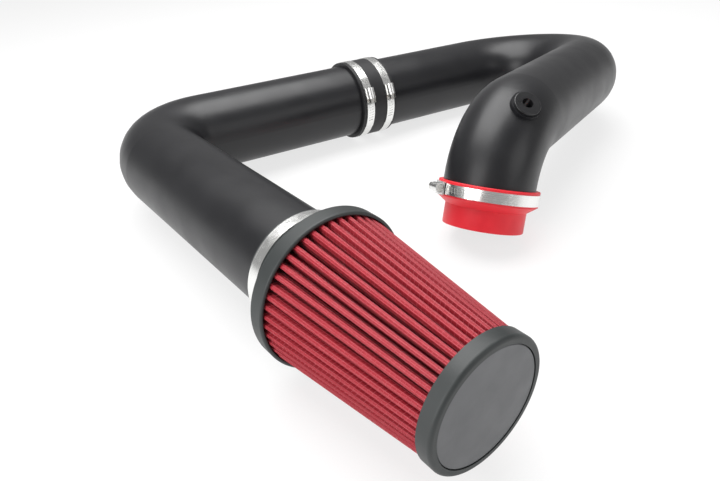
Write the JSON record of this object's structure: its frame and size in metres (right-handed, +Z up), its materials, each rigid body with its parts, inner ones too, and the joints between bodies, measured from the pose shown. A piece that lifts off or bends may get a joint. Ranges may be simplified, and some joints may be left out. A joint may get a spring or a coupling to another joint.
{
  "type": "car air intake",
  "caption": "Car air intake: red pleated cone filter on black moulded pipes with a coupler, a red outlet reducer and worm-drive clamps.",
  "frame": {"origin": "middle of the base of the part's box, on the floor that it lies on", "axes": "+X along the long run of the pipe towards the return bend, +Y from the filter towards the long run, +Z up"},
  "size_m": [0.7298, 0.6432, 0.1618],
  "materials": {
    "pipe_plastic": "black moulded plastic, fine satin texture",
    "filter_rubber": "dark grey moulded rubber, matt",
    "grommet_rubber": "black rubber, satin",
    "coupler_rubber": "black rubber sleeve, matt",
    "red_silicone": "bright red silicone, satin",
    "red_gauze": "oiled red cotton gauze under wire mesh, pleated",
    "cap_plate": "grey satin plate",
    "cage_steel": "punched steel",
    "clamp_band_steel": "bright stainless strip",
    "clamp_housing_steel": "bright pressed stainless",
    "clamp_screw_steel": "plated steel"
  },
  "bodies": {
    "root": {"intake_tube_front": "pipe_plastic", "intake_tube_rear": "pipe_plastic", "intake_tube_outlet": "pipe_plastic", "filter_base": "filter_rubber", "filter_end_cap": "filter_rubber", "sensor_grommet": "grommet_rubber", "mid_coupler": "coupler_rubber", "outlet_reducer": "red_silicone", "filter_media": "red_gauze", "end_cap_plate": "cap_plate", "filter_inner_cage": "cage_steel", "filter_clamp_front_band": "clamp_band_steel", "filter_clamp_rear_band": "clamp_band_steel", "coupler_clamp_front_band": "clamp_band_steel", "coupler_clamp_rear_band": "clamp_band_steel", "outlet_clamp_band": "clamp_band_steel", "filter_clamp_front_housing": "clamp_housing_steel", "filter_clamp_rear_housing": "clamp_housing_steel", "coupler_clamp_front_housing": "clamp_housing_steel", "coupler_clamp_rear_housing": "clamp_housing_steel", "outlet_clamp_housing": "clamp_housing_steel", "filter_clamp_front_screw": "clamp_screw_steel", "filter_clamp_rear_screw": "clamp_screw_steel", "coupler_clamp_front_screw": "clamp_screw_steel", "coupler_clamp_rear_screw": "clamp_screw_steel", "outlet_clamp_screw": "clamp_screw_steel"}
  },
  "joints": []
}
